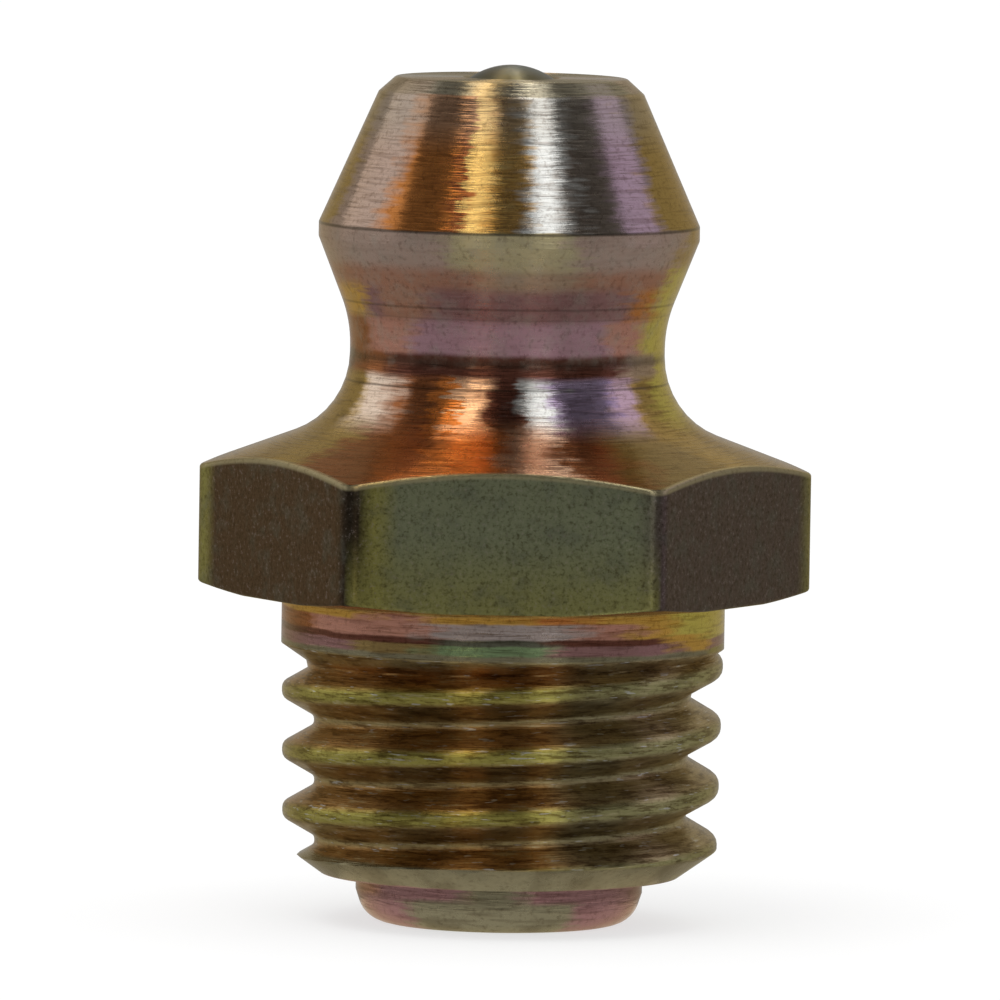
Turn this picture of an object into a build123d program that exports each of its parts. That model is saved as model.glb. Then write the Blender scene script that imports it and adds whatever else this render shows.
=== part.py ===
from build123d import *
import math
import os

# Straight grease nipple with a 5/16-24 UNF shank, turned from hexagon bar, with a sprung check ball.
# Lengths are in millimetres and angles in degrees. The axis is +Z, the tip's end face lies at z = 0,
# and two flats of the hexagon face along Y.

# Tip: the plain end, drawn in where its edge is rolled over the spring
tip_length = 0.85
tip_draw = 0.18
tip_draw_length = 0.55
tip_rounding = 0.50

# Thread: right-hand, 60 degree form with blunt crests, tapering slightly towards the tip
threads_per_inch = 24
thread_diameter = 7.76
thread_length = 4.03
thread_flank_angle = 30.0
thread_taper_angle = 1.0
thread_crest_width = 0.26
thread_root_width = 0.15
thread_start_bearing = 177.0

# Lead: the face round the tip, whose rim lies inside the thread's root, and its chamfer
lead_face_width = 0.64
lead_face_inset = 0.09
lead_chamfer_length = 0.47

# Runout: the root rises over the last turn, and then as a cone to the shoulder
runout_length = 0.95
runout_cone_length = 0.30
runout_cone_depth = 0.43

# Shoulder: the plain shank between the thread and the hexagon's seat
shoulder_length = 0.91
seat_relief = 0.10

# Hexagon: its top is cut by the flare's cone and its lower corners by a flat chamfer
hexagon_width = 9.40
hexagon_corner_radius = 0.40
hexagon_corner_height = 2.18
seat_chamfer_angle = 12.0
seat_chamfer_width = 0.55

# Flare and neck
flare_angle = 20.5
flare_radius = 1.51
neck_depth = 0.58
neck_length = 0.13

# Head: the underside, the land that a coupler's jaws grip behind, and the nose
underside_radius = 2.27
underside_angle = 21.5
head_diameter = 6.68
head_land_length = 0.25
nose_length = 2.30
nose_angle = 23.8
face_chamfer_length = 0.27
face_chamfer_width = 0.30

# Check ball in its seat, and the bore below it
ball_diameter = 2.50
ball_crown = 0.22
ball_seat_gap = 0.01
ball_side_gap = 0.25
seat_cone_angle = 45.0
seat_land = 0.085

# Lip that is rolled in under the spring
lip_thickness = 0.36
lip_reach = 0.40
lip_chamfer = 0.12

# Spring: its round wire is drawn with this many flats, all of them helical
spring_wire = 0.30
spring_turns = 6
spring_wire_sides = 8
spring_bore_gap = 0.15
spring_end_gap = 0.01

# Margins by which trimming and cutting shapes pass the faces that they cut
overrun = 0.20
thread_margin = 0.04
shoulder_margin = 0.01

# Points along each flank of the thread's section
flank_steps = 8

# Thread form, with the depth that the flanks leave between the crest and the root
thread_pitch = 25.4 / threads_per_inch
flank_run = math.tan(math.radians(thread_flank_angle))
thread_depth = (thread_pitch - thread_crest_width - thread_root_width) / (2 * flank_run)
taper_slope = math.tan(math.radians(thread_taper_angle))
thread_radius = thread_diameter / 2
shoulder_radius = thread_radius + shoulder_margin

# Lead and tip, from the root outwards and inwards
lead_radius = thread_radius - thread_length * taper_slope - thread_depth - lead_face_inset
lead_end_radius = thread_radius - (thread_length - lead_chamfer_length) * taper_slope
lead_slope = (lead_end_radius - lead_radius) / lead_chamfer_length
tip_radius = lead_radius - lead_face_width

# Heights of the shank and the hexagon
lead_top = tip_length + lead_chamfer_length
thread_top = tip_length + thread_length
seat_height = thread_top + shoulder_length
corner_top = seat_height + hexagon_corner_height
corner_radius = hexagon_width / math.sqrt(3) - hexagon_corner_radius * (2 / math.sqrt(3) - 1)

# The flare's cone passes through the hexagon's upper corners and would meet the neck here
head_radius = head_diameter / 2
neck_radius = head_radius - neck_depth
flare_slope = math.tan(math.radians(flare_angle))
flare_foot = corner_top + (corner_radius - neck_radius) * flare_slope
flare_tangent = flare_radius * math.tan(math.radians(90 - flare_angle) / 2)

# Heights of the head
underside_tangent = underside_radius * math.tan(math.radians(underside_angle) / 2)
underside_foot = flare_foot + flare_tangent + neck_length + underside_tangent
land_bottom = underside_foot + neck_depth / math.tan(math.radians(underside_angle))
land_top = land_bottom + head_land_length
nose_top = land_top + nose_length
nose_radius = head_radius - nose_length * math.tan(math.radians(nose_angle))
face_height = nose_top + face_chamfer_length

# The ball stands a crown's height above the top face, and its seat's cone is tangent to it
ball_radius = ball_diameter / 2
ball_height = face_height + ball_crown - ball_radius
bore_radius = ball_radius + ball_side_gap
seat_angle = math.radians(seat_cone_angle)
seat_apex = ball_height + (ball_radius + ball_seat_gap) / math.sin(seat_angle)
orifice_radius = ball_radius * math.cos(seat_angle) - seat_land

# The spring stands on the lip and meets the ball along its upper inner edge
spring_radius = bore_radius - spring_bore_gap - spring_wire / 2
spring_bottom = lip_thickness + spring_end_gap
spring_reach = math.sqrt((ball_radius + spring_end_gap) ** 2 - (spring_radius - spring_wire / 2) ** 2)
spring_top = ball_height - spring_reach


def crest_radius(height):
    """Radius of the thread's crests at a height."""
    return thread_radius - (thread_top - height) * taper_slope


def root_radius(height):
    """Radius of the thread's root at a height."""
    return crest_radius(height) - thread_depth


def turned(*corners):
    """Solid turned about Z from a closed outline of (radius, height, corner rounding)."""
    points = [(radius, 0, height) for radius, height, rounding in corners]
    roundings = [rounding for radius, height, rounding in corners]
    outline = FilletPolyline(*points, radius=roundings, close=True)
    return revolve(make_face(outline), Axis.Z)


def turned_shank():
    """Tip, thread root and shoulder, up to the hexagon's seat."""
    lead_end = tip_length + lead_face_inset / (lead_slope - taper_slope)
    runout_start = thread_top - runout_length
    return turned(
        (0, 0, 0),
        (tip_radius - tip_draw, 0, tip_rounding),
        (tip_radius, tip_draw_length, 0),
        (tip_radius, tip_length, 0),
        (lead_radius, tip_length, 0),
        (root_radius(lead_end), lead_end, 0),
        (root_radius(runout_start), runout_start, 0),
        (thread_radius - runout_cone_depth, thread_top - runout_cone_length, 0),
        (shoulder_radius, thread_top, 0),
        (shoulder_radius, seat_height - seat_relief, 0),
        (shoulder_radius + seat_relief, seat_height, 0),
        (0, seat_height, 0),
    )


def turned_head():
    """Everything above the hexagon's seat, wider than the bar at the hexagon."""
    cut_radius = corner_radius + overrun
    chamfer_radius = corner_radius - seat_chamfer_width
    chamfer_rise = (cut_radius - chamfer_radius) * math.tan(math.radians(seat_chamfer_angle))
    return turned(
        (0, seat_height, 0),
        (chamfer_radius, seat_height, 0),
        (cut_radius, seat_height + chamfer_rise, 0),
        (cut_radius, corner_top - overrun * flare_slope, 0),
        (neck_radius, flare_foot, flare_radius),
        (neck_radius, underside_foot, underside_radius),
        (head_radius, land_bottom, 0),
        (head_radius, land_top, 0),
        (nose_radius, nose_top, 0),
        (nose_radius - face_chamfer_width, face_height, 0),
        (0, face_height, 0),
    )


def hexagon_bar():
    """The bar that the body is turned from."""
    section = RegularPolygon(hexagon_width / 2, 6, major_radius=False)
    section = fillet(section.vertices(), hexagon_corner_radius)
    length = face_height + 2 * overrun
    return Pos(0, 0, -overrun) * extrude(section, length)


def column_section(low_radius, high_radius):
    """Section of a threaded column across its axis, with the crest along +X.

    A straight flank cut across the axis is a spiral, whose radius falls evenly with the angle."""
    crest_half = thread_crest_width / 2 - (high_radius - thread_radius) * flank_run
    root_half = crest_half + (high_radius - low_radius) * flank_run

    def point(radius, along):
        return Vector(radius, 0, 0).rotate(Axis.Z, 360 * along / thread_pitch)

    def flank(side):
        shares = [step / flank_steps for step in range(flank_steps + 1)]
        radii = [high_radius + (low_radius - high_radius) * share for share in shares]
        places = [side * (crest_half + (root_half - crest_half) * share) for share in shares]
        return [point(radius, place) for radius, place in zip(radii, places)]

    falling = flank(1)
    rising = flank(-1)[::-1]
    crest = Edge.make_three_point_arc(rising[-1], point(high_radius, 0), falling[0])
    root = Edge.make_three_point_arc(falling[-1], point(low_radius, thread_pitch / 2), rising[0])
    return Face(Wire([crest, Edge.make_spline(falling), root, Edge.make_spline(rising)]))


def thread_turns():
    """The thread's turns, each a twisted column trimmed to the crests' taper and the lead chamfer.

    The columns' root lies inside the turned shank, and the last turn ends inside the shoulder."""
    top = thread_top + overrun
    section = column_section(root_radius(tip_length) - thread_margin, crest_radius(top) + thread_margin)
    trim = turned(
        (0, tip_length, 0),
        (lead_radius, tip_length, 0),
        (lead_end_radius, lead_top, 0),
        (crest_radius(top), top, 0),
        (0, top, 0),
    )
    count = math.ceil((top - tip_length) / thread_pitch)
    height = (top - tip_length) / count
    turn = 360 * height / thread_pitch
    for step in range(count):
        start = section.rotate(Axis.Z, thread_start_bearing + step * turn)
        column = Solid.extrude_linear_with_rotation(start, (0, 0, 0), (0, 0, height), turn)
        yield Pos(0, 0, tip_length + step * height) * column & trim


def grease_passage():
    """Orifice, ball seat, bore and the opening of the rolled lip."""
    lip_radius = bore_radius - lip_reach
    return turned(
        (0, -overrun, 0),
        (lip_radius, -overrun, 0),
        (lip_radius, lip_thickness - lip_chamfer, 0),
        (lip_radius + lip_chamfer, lip_thickness, 0),
        (bore_radius, lip_thickness, 0),
        (bore_radius, seat_apex - bore_radius / math.tan(seat_angle), 0),
        (orifice_radius, seat_apex - orifice_radius / math.tan(seat_angle), 0),
        (orifice_radius, face_height + overrun, 0),
        (0, face_height + overrun, 0),
    )


def nipple_body():
    """The one-piece body."""
    body = (turned_head() & hexagon_bar()) + turned_shank()
    for turn in thread_turns():
        body += turn
    return body - grease_passage()


def check_ball():
    """The steel ball, just below its seat."""
    return Pos(0, 0, ball_height) * Sphere(ball_radius)


def spring():
    """Round-wire compression spring with ground ends."""
    length = spring_top - spring_bottom
    pitch = length / spring_turns
    bottom = spring_bottom - spring_wire
    path = Edge.make_helix(pitch, length + 2 * spring_wire, spring_radius, center=(0, 0, bottom))
    section = Plane(path @ 0, z_dir=path % 0) * RegularPolygon(spring_wire / 2, spring_wire_sides)
    coil = sweep(section, path=path, is_frenet=True)
    ends = Pos(0, 0, spring_bottom + length / 2) * Cylinder(bore_radius, length)
    return coil & ends


os.makedirs("parts", exist_ok=True)
export_step(nipple_body(), "parts/nipple_body.step")
export_step(check_ball(), "parts/check_ball.step")
export_step(spring(), "parts/spring.step")
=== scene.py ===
from functools import partial
from math import atan2, ceil, copysign, cos, degrees, pi, radians, sin, sqrt, tan
from types import SimpleNamespace

import bmesh
import bpy
from bmesh import ops
from bmesh.types import BMEdge, BMVert
from bpy.props import FloatProperty, FloatVectorProperty, IntProperty, PointerProperty
from bpy.types import NodeSocket, Operator, Panel, PropertyGroup
from mathutils import Matrix, Vector


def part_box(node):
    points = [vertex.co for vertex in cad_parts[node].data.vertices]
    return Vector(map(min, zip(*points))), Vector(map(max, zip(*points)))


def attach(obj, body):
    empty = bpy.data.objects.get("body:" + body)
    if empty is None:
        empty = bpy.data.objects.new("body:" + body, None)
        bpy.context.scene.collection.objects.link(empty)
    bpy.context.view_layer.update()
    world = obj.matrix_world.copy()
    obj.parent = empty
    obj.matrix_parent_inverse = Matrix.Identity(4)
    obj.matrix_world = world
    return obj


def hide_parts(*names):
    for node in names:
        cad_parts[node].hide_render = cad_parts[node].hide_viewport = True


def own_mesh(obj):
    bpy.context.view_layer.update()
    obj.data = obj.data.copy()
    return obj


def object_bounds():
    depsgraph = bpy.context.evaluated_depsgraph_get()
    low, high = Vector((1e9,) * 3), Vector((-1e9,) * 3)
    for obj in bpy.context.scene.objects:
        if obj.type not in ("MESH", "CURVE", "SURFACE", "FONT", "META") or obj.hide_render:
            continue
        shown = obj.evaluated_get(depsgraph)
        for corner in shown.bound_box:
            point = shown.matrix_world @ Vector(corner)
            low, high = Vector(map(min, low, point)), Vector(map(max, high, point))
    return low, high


bl_info = {
    "name": "Grease nipple",
    "version": (1, 0, 0),
    "blender": (4, 5, 0),
    "location": "3D View > Sidebar > Grease nipple",
    "description": "Models a straight grease nipple with a check ball and a spring, and its studio",
    "category": "Object",
}

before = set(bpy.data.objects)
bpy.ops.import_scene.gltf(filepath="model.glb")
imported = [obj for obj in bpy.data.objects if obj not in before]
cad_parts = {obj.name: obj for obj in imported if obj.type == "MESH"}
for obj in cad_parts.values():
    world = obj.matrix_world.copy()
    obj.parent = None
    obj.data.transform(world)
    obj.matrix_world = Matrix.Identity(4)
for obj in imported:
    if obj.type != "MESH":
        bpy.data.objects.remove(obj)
cad_low, cad_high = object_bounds()

MM = 0.001
SECTOR = pi / 3
SHARP_ANGLE = radians(30)
TURN_STEPS = 360
TINY = 1e-7
LONG_EDGE = 0.4 * MM
LONG_THREAD_EDGE = 0.15 * MM
THREAD_WELD = 0.002 * MM
SLEEVE_OVERLAP = 0.05 * MM
MOUTH_ROUNDING = 0.04 * MM
SPRING_SIDES = 12
FLOOR_RADIUS = 3.0
TENT_RADIUS = 0.9
MAT_RADIUS = 0.85
CARD_DISTANCE = 0.6
LAMP_SIZE = 0.5
LAMP_DISTANCE = 0.7
LAMP_BEARING = radians(-120)
LAMP_ELEVATION = radians(62)
MAT_HEIGHT = 0.02 * MM
GLOW_HEIGHT = 0.05 * MM
AIM_HEIGHT = 7.5 * MM
SENSOR_WIDTH = 36.0
PICTURE_PIXELS = 1000
BODY = "nipple"
BALL = "ball"
body_low, body_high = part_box("nipple_body")
ball_low, ball_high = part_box("check_ball")
spring_low, spring_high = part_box("spring")
BALL_RADIUS = (ball_high[2] - ball_low[2]) / 2


def length(name, millimetres, description):
    """Property that holds a length, given in millimetres."""
    return FloatProperty(
        name=name, description=description, default=millimetres * MM, min=0.0, precision=5,
        subtype="DISTANCE", unit="LENGTH",
    )


def angle(name, turn, description):
    """Property that holds an angle, given in degrees."""
    return FloatProperty(
        name=name, description=description, default=radians(turn), subtype="ANGLE", unit="ROTATION"
    )


def colour(name, default, description):
    """Property that holds a linear colour."""
    return FloatVectorProperty(
        name=name, description=description, default=default, size=3, min=0.0, max=1.0, subtype="COLOR"
    )


def level(name, default, description, high=1.0):
    """Property that holds a plain number from nought to high."""
    return FloatProperty(name=name, description=description, default=default, min=0.0, max=high)


def number(name, default, description, low, high):
    """Property that holds a whole number."""
    return IntProperty(name=name, description=description, default=default, min=low, max=high)


class NippleTip(PropertyGroup):
    """The plain end below the thread, and the passage through the body"""

    length: length("Length", 0.85, "Height of the plain tip")
    radius: length("Radius", 2.518, "Radius of the plain tip")
    draw: length("Draw", 0.18, "How far the tip's end is drawn in")
    draw_length: length("Draw length", 0.55, "Height of the drawn-in end")
    rounding: length("Rounding", 0.50, "Radius of the tip's rolled edge")
    lip_radius: length("Lip radius", 1.10, "Radius of the lip's hole")
    lip_thickness: length("Lip thickness", 0.36, "Thickness of the rolled lip")
    lip_chamfer: length("Lip chamfer", 0.12, "Chamfer inside the lip")
    bore_radius: length("Bore radius", 1.50, "Radius of the spring's bore")
    orifice_radius: length("Orifice radius", 0.799, "Radius of the ball's hole")
    seat_angle: angle("Seat angle", 45, "Half angle of the ball's seat")
    seat_gap: length("Seat gap", 0.01, "Gap between the ball and its seat")


class NippleThread(PropertyGroup):
    """The right-hand thread and the shoulder above it"""

    pitch: length("Pitch", 25.4 / 24, "Distance from crest to crest")
    radius: length("Radius", 3.88, "Radius of the uppermost crests")
    length: length("Length", 4.03, "Length of the thread")
    crest_width: length("Crest width", 0.26, "Width of the blunt crests")
    root_width: length("Root width", 0.15, "Width of the root")
    crest_rounding: length("Crest rounding", 0.17, "Radius of the crests' edges")
    root_rounding: length("Root rounding", 0.10, "Radius in the root's corners")
    flank_angle: angle("Flank angle", 30, "Angle of a flank from square to the axis")
    taper_angle: angle("Taper angle", 1, "Taper towards the tip")
    start_bearing: angle("Start bearing", 177, "Bearing of the crest at the lower end")
    lead_radius: length("Lead radius", 3.158, "Radius of the face round the tip")
    lead_length: length("Lead length", 0.47, "Height of the lead chamfer")
    runout_length: length("Runout length", 0.95, "Height over which the root rises")
    runout_cone_length: length("Runout cone length", 0.30, "Height of the runout's last cone")
    runout_cone_depth: length("Runout cone depth", 0.43, "Depth of that cone at its foot")
    shoulder_radius: length("Shoulder radius", 3.89, "Radius of the plain shank")
    shoulder_length: length("Shoulder length", 0.91, "Height of the plain shank")
    seat_relief: length("Seat relief", 0.10, "Relief below the hexagon")
    steps: number("Steps", 180, "Steps in one turn of the thread", 24, 360)


class NippleHexagon(PropertyGroup):
    """The hexagon, whose top is cut by the flare's cone"""

    apothem: length("Apothem", body_high[1] / MM, "Half of the width across the flats")
    corner_radius: length("Corner radius", 0.40, "Radius of the bar's upright corners")
    corner_height: length("Corner height", 2.18, "Height of the corners above the seat")
    seat_chamfer_angle: angle("Seat chamfer angle", 12, "Angle of the chamfer below the corners")
    seat_chamfer_width: length("Seat chamfer width", 0.55, "Width of the chamfer below the corners")
    edge_rounding: length("Edge rounding", 0.07, "Radius of the upper and lower edges")


class NippleHead(PropertyGroup):
    """The flare, the neck and the head that a coupler grips"""

    flare_angle: angle("Flare angle", 20.5, "Slope of the flare's cone")
    flare_radius: length("Flare radius", 1.51, "Radius between the flare and the neck")
    neck_radius: length("Neck radius", 2.76, "Radius of the neck")
    underside_foot: length("Underside foot", 10.5525, "Where the underside would meet the neck")
    underside_radius: length("Underside radius", 2.27, "Radius between the neck and the underside")
    radius: length("Radius", 3.34, "Radius of the widest ring")
    land_bottom: length("Land bottom", 12.025, "Height of the land's lower edge")
    land_top: length("Land top", 12.275, "Height of the land's upper edge")
    nose_top: length("Nose top", 14.575, "Height of the nose's upper edge")
    nose_radius: length("Nose radius", 2.3256, "Radius of the nose's upper edge")
    face_radius: length("Face radius", 2.0256, "Radius of the flat face")
    face_height: length("Face height", body_high[2] / MM, "Height of the flat face")
    edge_rounding: length("Edge rounding", 0.10, "Radius of the head's edges")


class NippleSpring(PropertyGroup):
    """The compression spring under the ball"""

    wire: length("Wire", 0.30, "Diameter of the wire")
    radius: length("Radius", 1.20, "Radius to the middle of the wire")
    turns: number("Turns", 6, "Turns of wire", 2, 20)
    steps: number("Steps", 48, "Steps in one turn", 12, 128)


def sizes(context):
    """The property groups that hold the sizes."""
    scene = context.scene
    return scene.nipple_tip, scene.nipple_thread, scene.nipple_hexagon, scene.nipple_head


# Meshes


def everything(bm):
    """All the verts, edges and faces of a bmesh."""
    return bm.verts[:] + bm.edges[:] + bm.faces[:]


def only(kind, geom):
    """The verts or the edges in a list of geometry."""
    return [item for item in geom if isinstance(item, kind)]


def cut_level(bm, height, side):
    """Keeps what lies above a height (side 1) or below it (side -1), and gives the edges of the cut."""
    cut = ops.bisect_plane(
        bm, geom=everything(bm), dist=1e-8, plane_co=(0, 0, height), plane_no=(0, 0, side), clear_inner=True
    )
    return only(BMEdge, cut["geom_cut"])


def new_object(name, bm, material):
    """Smooth-shaded object at the origin from a bmesh."""
    mesh = bpy.data.meshes.new(name)
    bm.to_mesh(mesh)
    bm.free()
    mesh.materials.append(material)
    mesh.shade_smooth()
    piece = bpy.data.objects.new(name, mesh)
    bpy.context.scene.collection.objects.link(piece)
    return piece


def new_piece(name, bm, body, material):
    """Object with its sharp edges marked, that rides on a CAD body."""
    piece = new_object(name, bm, material)
    piece.data.set_sharp_from_angle(angle=SHARP_ANGLE)
    normals = piece.modifiers.new("Face-weighted normals", "WEIGHTED_NORMAL")
    normals.keep_sharp = True
    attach(piece, body)
    return piece


def draw_outline(bm, corners, arc_steps=8):
    """Chain of edges in the XZ plane through corners of (radius, height, rounding), with spun arcs."""
    chain = []

    def add(vert):
        if chain:
            bm.edges.new((chain[-1], vert))
        chain.append(vert)

    places = [Vector((radius, 0, height)) for radius, height, rounding in corners]
    for index, (place, (radius, height, rounding)) in enumerate(zip(places, corners)):
        if not rounding:
            add(bm.verts.new(place))
            continue
        before = (places[index - 1] - place).normalized()
        after = (places[index + 1] - place).normalized()
        half = before.angle(after) / 2
        start = place + before * rounding / tan(half)
        centre = place + (before + after).normalized() * rounding / sin(half)
        end = place + after * rounding / tan(half)
        turn = (start - centre).angle(end - centre)
        turn *= copysign(1, (start - centre).cross(end - centre).y)
        add(bm.verts.new(start))
        known = set(bm.verts)
        ops.spin(bm, geom=[chain[-1]], cent=centre, axis=(0, 1, 0), angle=turn, steps=arc_steps)
        new = [vert for vert in bm.verts if vert not in known]
        chain.extend(sorted(new, key=lambda vert: (vert.co - start).length))
    return chain


def spin(bm, angle, steps, rise=0.0):
    """Spins everything about Z, and lifts it at each step."""
    ops.spin(
        bm, geom=everything(bm), cent=(0, 0, 0), axis=(0, 0, 1), dvec=(0, 0, rise), angle=angle, steps=steps
    )


def repeat(bm, count, matrix):
    """Copies everything until there are count of it, each moved once more by the matrix."""
    first = everything(bm)
    step = matrix.copy()
    for _ in range(1, count):
        copy = ops.duplicate(bm, geom=first)
        ops.transform(bm, matrix=step, verts=only(BMVert, copy["geom"]))
        step = matrix @ step


def spin_full(bm, steps, sectors=6):
    """Turns everything once round Z: one sector is spun, and then repeated."""
    sector = 2 * pi / sectors
    spin(bm, sector, steps // sectors)
    repeat(bm, sectors, Matrix.Rotation(sector, 4, "Z"))
    ops.remove_doubles(bm, verts=bm.verts, dist=TINY)
    ops.recalc_face_normals(bm, faces=bm.faces)


def hexagon_reach(bearing, hexagon):
    """Distance from the axis to the hexagon's wall at a bearing, rounded corners included."""
    off = (bearing - pi / 2) % SECTOR
    off = min(off, SECTOR - off)
    straight = hexagon.apothem - hexagon.corner_radius
    if off < atan2(straight * tan(SECTOR / 2), hexagon.apothem):
        return hexagon.apothem / cos(off)
    centre = straight / cos(SECTOR / 2)
    side = SECTOR / 2 - off
    return centre * cos(side) + sqrt(hexagon.corner_radius**2 - (centre * sin(side)) ** 2)


def crowd_corners(bearing):
    """Moves a bearing towards the nearest corner, so that its rounding gets more faces."""
    off = (bearing + SECTOR / 2) % SECTOR - SECTOR / 2
    share = abs(off) / (SECTOR / 2)
    return bearing - off + copysign(SECTOR / 2 * share**1.5, off)


def heights(context):
    """Heights and radii worked out from the sizes."""
    tip, thread, hexagon, head = sizes(context)
    flank_run = tan(thread.flank_angle)
    flank = (thread.pitch - thread.crest_width - thread.root_width) / 2
    thread_top = tip.length + thread.length
    seat = thread_top + thread.shoulder_length
    reach = hexagon_reach(0, hexagon)
    corner_top = seat + hexagon.corner_height
    return SimpleNamespace(
        thread_depth=flank / flank_run,
        thread_top=thread_top,
        seat=seat,
        reach=reach,
        corner_top=corner_top,
        flare_foot=corner_top + (reach - head.neck_radius) * tan(head.flare_angle),
        cone_start=head.neck_radius + head.flare_radius * (1 - sin(head.flare_angle)),
        chamfer_radius=reach - hexagon.seat_chamfer_width,
    )


def hexagon_place(radius, height, wall, at, hexagon, head):
    """Where a point of the round blank goes on a bearing whose wall is that far out."""
    inset = at.reach - wall
    rim = at.reach - hexagon.edge_rounding
    flare_slope = tan(head.flare_angle)
    chamfer_slope = tan(hexagon.seat_chamfer_angle)
    rise = hexagon.seat_chamfer_width * chamfer_slope
    low = at.seat + rise + hexagon.edge_rounding
    high = at.corner_top - hexagon.edge_rounding
    middle = (low + high) / 2
    if height > middle and radius > rim:
        return radius - inset, height + inset * flare_slope * min(1, (height - middle) / (high - middle))
    if height > middle:
        core = at.cone_start
        radius = core + (radius - core) * (rim - inset - core) / (rim - core)
        return radius, at.flare_foot - (radius - head.neck_radius) * flare_slope
    if radius > rim:
        drop = min(inset * chamfer_slope, rise)
        return radius - inset, height - drop * min(1, (middle - height) / (middle - low))
    radius = min(radius, rim - inset - hexagon.edge_rounding / 2)
    return radius, at.seat + max(0, radius - at.chamfer_radius) * chamfer_slope


def turned_blank(context, at):
    """Closed shell of the turned body and its passage, with a round blank at the hexagon."""
    tip, thread, hexagon, head = sizes(context)
    apex = ball_low[2] + BALL_RADIUS + (BALL_RADIUS + tip.seat_gap) / sin(tip.seat_angle)
    run = 1 / tan(tip.seat_angle)
    edge = head.edge_rounding
    chamfer_rise = hexagon.seat_chamfer_width * tan(hexagon.seat_chamfer_angle)
    corners = (
        (tip.lip_radius, tip.lip_thickness - tip.lip_chamfer, 0),
        (tip.lip_radius, 0, MOUTH_ROUNDING),
        (tip.radius - tip.draw, 0, tip.rounding),
        (tip.radius, tip.draw_length, 0),
        (tip.radius, at.thread_top, 0),
        (thread.shoulder_radius, at.thread_top, 0),
        (thread.shoulder_radius, at.seat - thread.seat_relief, 0),
        (thread.shoulder_radius + thread.seat_relief, at.seat, 0),
        (at.chamfer_radius, at.seat, 0),
        (at.reach, at.seat + chamfer_rise, hexagon.edge_rounding),
        (at.reach, at.corner_top, hexagon.edge_rounding),
        (head.neck_radius, at.flare_foot, head.flare_radius),
        (head.neck_radius, head.underside_foot, head.underside_radius),
        (head.radius, head.land_bottom, edge),
        (head.radius, head.land_top, edge),
        (head.nose_radius, head.nose_top, edge),
        (head.face_radius, head.face_height, edge),
        (tip.orifice_radius, head.face_height, edge),
        (tip.orifice_radius, apex - tip.orifice_radius * run, 0),
        (tip.bore_radius, apex - tip.bore_radius * run, 0),
        (tip.bore_radius, tip.lip_thickness, 0),
        (tip.lip_radius + tip.lip_chamfer, tip.lip_thickness, 0),
    )
    bm = bmesh.new()
    chain = draw_outline(bm, corners)
    bm.edges.new((chain[-1], chain[0]))
    long_edges = [edge for edge in bm.edges if edge.calc_length() > LONG_EDGE]
    ops.subdivide_edges(bm, edges=long_edges, cuts=4)
    spin_full(bm, TURN_STEPS)
    return bm


def press_hexagon(bm, context, at):
    """Brings the round blank to the hexagon's walls, and crowds every ring's points at its corners."""
    _, thread, hexagon, head = sizes(context)
    relief_end = thread.shoulder_radius + 1.01 * thread.seat_relief
    for vert in bm.verts:
        bearing = crowd_corners(atan2(vert.co.y, vert.co.x))
        radius, height = vert.co.xy.length, vert.co.z
        in_hexagon = at.seat - TINY < height < at.flare_foot and radius > at.cone_start + 10 * TINY
        if in_hexagon and (radius > relief_end or height > at.seat + 10 * TINY):
            wall = hexagon_reach(bearing, hexagon)
            radius, height = hexagon_place(radius, height, wall, at, hexagon, head)
        vert.co = Vector((radius * cos(bearing), radius * sin(bearing), height))


def thread_envelope(height, context, at):
    """Lowest and highest radius that the thread's surface may have at a height."""
    tip, thread, *_ = sizes(context)
    crest_slope = tan(thread.taper_angle)
    lead_end = thread.radius - (thread.length - thread.lead_length) * crest_slope
    lead_slope = (lead_end - thread.lead_radius) / thread.lead_length
    lead = thread.lead_radius + (height - tip.length) * lead_slope
    left = at.thread_top - height
    foot = thread.radius - thread.runout_cone_depth
    if left <= 0:
        low = thread.shoulder_radius
    elif left < thread.runout_cone_length:
        low = foot + (thread.shoulder_radius - foot) * (1 - left / thread.runout_cone_length)
    else:
        root = thread.radius - thread.runout_length * crest_slope - at.thread_depth
        share = (left - thread.runout_cone_length) / (thread.runout_length - thread.runout_cone_length)
        low = foot + (root - foot) * share
    return low, min(lead, thread.shoulder_radius)


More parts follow.
